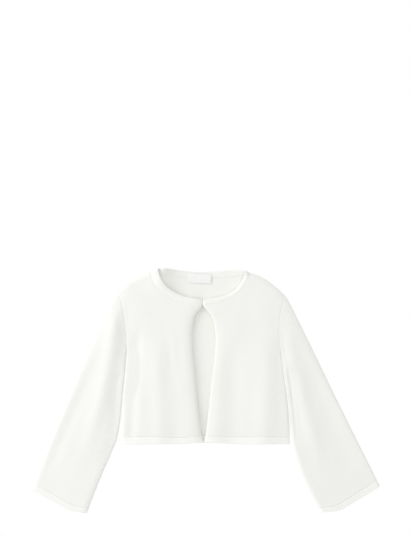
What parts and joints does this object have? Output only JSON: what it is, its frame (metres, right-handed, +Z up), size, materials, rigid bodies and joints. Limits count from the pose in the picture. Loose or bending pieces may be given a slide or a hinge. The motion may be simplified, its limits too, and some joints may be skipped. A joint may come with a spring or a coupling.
{
  "type": "cardigan",
  "caption": "Cropped long-sleeved knitted cardigan laid flat, round neckband fastened at the throat, open below to the hem, fine plain knit with narrow hem and cuff bands.",
  "frame": {"origin": "centre of the laid-out garment's outline, on the surface that it lies on", "axes": "+X towards the wearer's left side, +Y towards the neck, +Z up from the surface, out of the fronts"},
  "size_m": [0.6632, 0.4655, 0.0249],
  "materials": {
    "knit": "matte",
    "band": "matte",
    "label": "satin",
    "closure": "satin"
  },
  "bodies": {
    "root": {"back": "knit", "front_right": "knit", "front_left": "knit", "sleeve_right_upper": "knit", "sleeve_right_under": "knit", "sleeve_left_upper": "knit", "sleeve_left_under": "knit", "hem_back": "band", "hem_front_right": "band", "hem_front_left": "band", "cuff_right": "band", "cuff_left": "band", "neckband": "band", "label": "label", "hook": "closure", "eye": "closure"}
  },
  "joints": []
}
